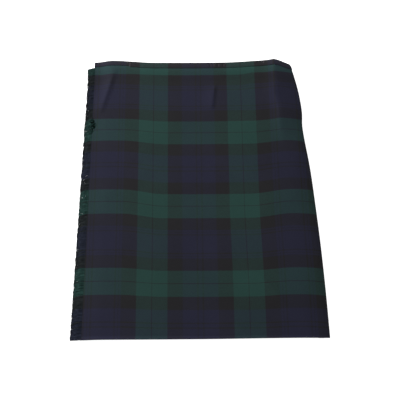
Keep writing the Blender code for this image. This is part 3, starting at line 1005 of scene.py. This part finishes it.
def fringe_yarns():
    dice = random.Random(7)
    points, faces, places = [], [], []
    for k in range(YARNS):
        up = FRINGE_TOP_UP * (k + 0.5) / YARNS
        edge = fringe_edge(up)
        y = y_at(edge, up)
        along = band_place(y + TO_FRAME.y)
        tangled = max(1 - abs(y + TO_FRAME.y - TANGLE_Y) / TANGLE_REACH, 0)
        inside = TANGLE_LAP * tangled

        length = mix(YARN_LENGTH, YARN_LENGTH_WAIST, up)
        length *= mix(1, TOP_YARNS, smooth(*TOP_YARNS_UP, up))
        clump = CLUMPED * noise.noise(Vector((up * CLUMPS, 0, 0)))
        length *= 1 + mix(HEM_UNEVEN, 1, up) * (clump + dice.uniform(*UNEVEN))
        length += inside + TANGLE_LONGER * tangled
        on_cloth = inside / length

        sway = SWAY * noise.noise(Vector((up * SWAYS, 5, 0))) + dice.uniform(-STRAY, STRAY)
        arch = ARCH * dice.uniform(0, 1) ** 3
        sway += HEM_SWAY * smooth(*HEM_SWAY_UP, up) + WAIST_SWAY * smooth(*WAIST_SWAY_UP, up)
        sway += TANGLE_SWAY * tangled * dice.uniform(-1, 1)
        arch += TANGLE_ARCH * tangled * dice.uniform(0, 1)
        tip = TIP_LEVEL + dice.uniform(0, TIP_SPREAD)
        fall = front_level(edge, up) + CLOTH / 2 - tip

        first = len(points)
        for j in range(YARN_STEPS + 1):
            share = j / YARN_STEPS
            x = edge + YARN_LAP + inside - length * share
            off = max(share - on_cloth, 0) / (1 - on_cloth)
            level = front_level(max(x, edge), up) + CLOTH / 2
            level += arch * math.sin(math.pi * share) - fall * off**FALL_BEND
            leaning = sway * share**LEAN_BEND + KINK * math.sin(KINKS * share + k)
            middle = TO_FRAME + Vector((x, y + leaning, level))
            # The tangle's share of painted shade, carried to the material in the map.
            tangle_shade_share = tangled * smooth(edge - TANGLE_SHADE[0], edge - TANGLE_SHADE[1], x)
            radius = YARN * (1 - YARN_TAPER * share**3)
            for side in range(YARN_SIDES):
                angle = 2 * math.pi * (side + 0.5) / YARN_SIDES
                around = radius * math.cos(angle), radius * math.sin(angle)
                points.append(middle + Vector((0, *around)))
                places.append((tangle_shade_share, along))
        for j in range(YARN_STEPS):
            for side in range(YARN_SIDES):
                a = first + j * YARN_SIDES + side
                b = first + j * YARN_SIDES + (side + 1) % YARN_SIDES
                faces.append((a, b, b + YARN_SIDES, a + YARN_SIDES))
        faces.append([first + side for side in range(YARN_SIDES)])
        faces.append([first + YARN_STEPS * YARN_SIDES + side for side in range(YARN_SIDES)])
    return cloth_object("fringe_yarns", points, faces, places)


WARP_FLUFF = (0.0155, 0.0240, 0.0250, 1)  # ends of the warp, of all dyes, left on the weft
FLUFFY = 0.35
YARN_TONE = 0.54
STRANDS = 0.8  # how much paler the lightest strands are than the darkest
STRAND_SPAN = (0.32, 0.68)  # the part of the noise between those two
STRAND_LENGTH = (0.12, 1, 1)  # it is drawn out along the yarns
UPPER_FRINGE_SHADE = 0.24  # painted shade: how much darker it gets towards the waist, for the shade among the loose yarns there
UPPER_FRINGE_SHADE_Y = (0.05, 0.19)
TIP_DARK = 0.45  # and on the floor, where less light gets between the tips
TIP_HIGH = 8 * MM
# Painted shade in the tangle, and the part of its share in the map over which it comes in.
TANGLE_DARK = 0.7
TANGLE_DARK_SPAN = (0.05, 0.50)
SPECK = 2.2  # how pale the fluff in the tangle is
SPECK_SPAN = (0.56, 0.62)


def fringe_wool(name):
    """Loose weft yarn: the colour of its own band, dulled by what is left of the warp."""
    material, shader, wire = wool(name, roughness=0.95)
    shader.inputs["Specular IOR Level"].default_value = 0.02
    place = wire.node("ShaderNodeUVMap", {"uv_map": "cloth"}, {})
    tangle, along = place.axis(0), place.axis(1)
    share = (along * (1 / SETT_ALONG)).math("FRACT")
    color = wire.node("ShaderNodeValToRGB", {"stops": tartan_stripes()}, {0: share})
    dulled = {0: FLUFFY, 6: color, 7: WARP_FLUFF}
    color = wire.node("ShaderNodeMix", {"data_type": "RGBA"}, dulled, 2)

    body = wire.node("ShaderNodeTexCoord", {}, {}, "Object")
    drawn = wire.node("ShaderNodeMapping", {}, {"Vector": body, "Scale": STRAND_LENGTH})
    strand = wire.node("ShaderNodeTexNoise", {}, {"Vector": drawn, "Scale": 320, "Detail": 4})
    tone = YARN_TONE + strand.ranged(*STRAND_SPAN, 0, 1) * STRANDS
    # Painted shade: darker towards the waist, and towards the floor, where less light gets between
    # the tips.
    tone -= body.axis(1).ranged(*UPPER_FRINGE_SHADE_Y, 0, UPPER_FRINGE_SHADE)
    tone -= body.axis(2).ranged(0, TIP_HIGH, TIP_DARK, 0)

    # In the tangle the yarns are painted dark, as shade where they bunch over the apron's edge, and
    # pale fluff is caught between them.
    fluff = wire.node("ShaderNodeTexNoise", {}, {"Vector": body, "Scale": 420, "Detail": 1})
    speck = fluff.ranged(*SPECK_SPAN, 0, SPECK)
    dark = tangle.ranged(*TANGLE_DARK_SPAN, 0, TANGLE_DARK)
    color.toned(tone * (1 - dark) + speck * dark).to(shader, "Base Color")
    return material


fringe = fringe_yarns()
fringe.data.materials.append(fringe_wool("fringe_yarn"))
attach(fringe, "root")
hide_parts("apron_fringe")

# ---------------------------------------------------------------------------------------------
# The floor, and soft studio light: a large lamp low beyond the fringed side, a small one beyond
# the waist, and a pale sky. The floor is white, and so bright that hardly a shadow shows.
# ---------------------------------------------------------------------------------------------
FLOOR_SIZE = 8
FLOOR_Z = -0.0004
SKY_STRENGTH = 0.47

bpy.ops.mesh.primitive_plane_add(size=FLOOR_SIZE, location=(0, 0, FLOOR_Z))
floor = bpy.context.object
floor.name = "floor"
paper = bpy.data.materials.new("floor")
paper.use_nodes = True
surface = paper.node_tree.nodes["Principled BSDF"].inputs
surface["Base Color"].default_value = (0.9, 0.9, 0.9, 1)
surface["Roughness"].default_value = 0.9
surface["Emission Color"].default_value = (1, 1, 1, 1)
surface["Emission Strength"].default_value = 0.9
floor.data.materials.append(paper)


def soft_light(name, place, size, power):
    lamp = bpy.data.lights.new(name, "AREA")
    lamp.size, lamp.energy = size, power
    light = bpy.data.objects.new(name, lamp)
    light.location = place
    light.rotation_euler = (-Vector(place)).to_track_quat("-Z", "Y").to_euler()
    bpy.context.collection.objects.link(light)


soft_light("key", (-1.85, 0.35, 0.75), 0.9, 52)
soft_light("back", (-0.25, 0.80, 0.62), 0.4, 2.9)

sky = bpy.data.worlds.new("studio")
sky.use_nodes = True
sky.node_tree.nodes["Background"].inputs["Color"].default_value = (1, 1, 1, 1)
sky.node_tree.nodes["Background"].inputs["Strength"].default_value = SKY_STRENGTH
bpy.context.scene.world = sky
bpy.context.scene.view_settings.view_transform = "Standard"
